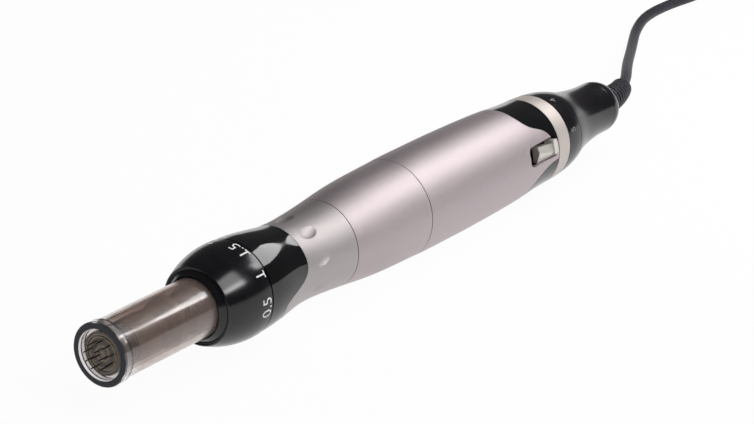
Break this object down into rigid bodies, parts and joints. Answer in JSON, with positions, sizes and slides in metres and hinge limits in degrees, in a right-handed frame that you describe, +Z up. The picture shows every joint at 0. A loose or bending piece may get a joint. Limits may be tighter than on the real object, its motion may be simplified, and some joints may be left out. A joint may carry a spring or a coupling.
{
  "type": "microneedling pen",
  "caption": "Corded microneedling pen with a smoky needle cartridge, black depth dial, waisted silver grip, slide switch, speed dial and ribbed cord exit.",
  "frame": {"origin": "on the surface the pen lies on, under the middle of the pen's length, measured without the cord, its coil and its plug", "axes": "+X runs along the pen from the needle tip towards the cord, +Z is up and passes through the dial's numeral side, +Y is to the side that the cord bends to; the slide switch faces -Y"},
  "size_m": [0.4055, 0.0612, 0.0225],
  "materials": {
    "smoke_plastic": "clear plastic with a grey-brown smoke tint, polished",
    "smoke_tip_plastic": "denser smoke tint, polished",
    "hub_plastic": "brown-grey moulded plastic",
    "needle_steel": "ground stainless steel",
    "black_gloss": "piano black",
    "black_soft": "fine satin black",
    "barrel_metal": "satin metallic silver with a faint rose cast",
    "nose_metal": "satin bead-blasted",
    "cream_plastic": "cream, satin",
    "switch_metal": "bright satin",
    "white_nylon": "natural nylon",
    "steel": "turned",
    "brass_bush": "turned",
    "magnet": "ferrite",
    "winding_copper": "enamelled copper winding on a steel core",
    "ring_rubber": "smooth nitrile",
    "silicone": "translucent silicone",
    "board_green": "solder mask",
    "chip_black": "moulded epoxy",
    "capacitor_sleeve": "printed sleeve left plain",
    "lead_red": "wire insulation",
    "cord_rubber": "satin cord jacket",
    "plug_nickel": "nickel plate"
  },
  "bodies": {
    "pen_body": {"index_band": "black_gloss", "nose_cone": "nose_metal", "dial_o_ring": "ring_rubber", "dial_retaining_ring": "steel", "guide_bush": "brass_bush", "guide_pin": "steel", "motor_mount": "nose_metal", "motor_screws": "steel", "motor_can": "steel", "motor_magnets": "magnet", "motor_end_cap": "white_nylon", "motor_terminals": "brass_bush", "motor_leads": "lead_red", "motor_damper": "ring_rubber", "front_barrel": "barrel_metal", "joining_sleeve": "nose_metal", "barrel_o_ring": "ring_rubber", "rear_barrel": "barrel_metal", "rear_inlay": "black_gloss", "board_cradle": "black_soft", "circuit_board": "board_green", "driver_chip": "chip_black", "voltage_regulator": "chip_black", "smoothing_capacitor": "capacitor_sleeve", "power_leads": "lead_red", "switch_body": "black_soft", "trim_ring": "cream_plastic", "end_frame": "black_soft", "potentiometer_base": "board_green", "tail_housing": "black_gloss", "strain_relief": "cord_rubber", "cord_lead": "cord_rubber", "cord_coil": "cord_rubber", "plug_lead": "cord_rubber", "plug_body": "black_soft", "plug_barrel": "plug_nickel", "plug_insulator": "black_soft", "plug_contact": "brass_bush"},
    "cartridge": {"tip_cap": "smoke_tip_plastic", "cartridge_tube": "smoke_plastic", "cartridge_guide": "hub_plastic", "cartridge_spring": "steel", "sealing_membrane": "silicone", "cartridge_base": "smoke_tip_plastic", "cartridge_o_ring": "ring_rubber", "cartridge_holder": "black_soft"},
    "needle_carriage": {"needle_hub": "hub_plastic", "needles": "needle_steel", "plunger": "hub_plastic", "drive_rod": "steel", "cam_follower": "white_nylon"},
    "depth_ring": {"depth_dial": "black_gloss"},
    "motor_rotor": {"motor_shaft": "steel", "motor_armature": "winding_copper", "face_cam": "white_nylon"},
    "power_switch": {"switch_knob": "switch_metal"},
    "speed_control": {"speed_dial": "black_gloss", "potentiometer_wiper": "brass_bush"}
  },
  "joints": [
    {"name": "depth_dial_turn", "type": "hinge", "parent": "pen_body", "child": "depth_ring", "pos_m": [-0.05846, 0, 0.01125], "axis": [1, 0, 0], "range_deg": [-150, 37.5]},
    {"name": "cartridge_slide", "type": "slide", "parent": "pen_body", "child": "cartridge", "axis": [1, 0, 0], "range_m": [-0.002, 0.0005]},
    {"name": "motor_turn", "type": "hinge", "parent": "pen_body", "child": "motor_rotor", "pos_m": [-0.01446, 0, 0.01125], "axis": [1, 0, 0], "range_deg": [0, 180]},
    {"name": "needle_slide", "type": "slide", "parent": "pen_body", "child": "needle_carriage", "axis": [1, 0, 0], "range_m": [0, 0.0025], "deforming": ["cartridge_spring"]},
    {"name": "switch_slide", "type": "slide", "parent": "pen_body", "child": "power_switch", "axis": [1, 0, 0], "range_m": [-0.003, 0]},
    {"name": "speed_dial_turn", "type": "hinge", "parent": "pen_body", "child": "speed_control", "pos_m": [0.05874, 0, 0.01125], "axis": [1, 0, 0], "range_deg": [-98, 98]}
  ],
  "couplings": [
    {"joint": "depth_dial_turn", "follows": "cartridge_slide", "rad_per_m": 1309},
    {"joint": "needle_slide", "follows": "motor_turn", "m_per_rad": 0.00079577}
  ]
}
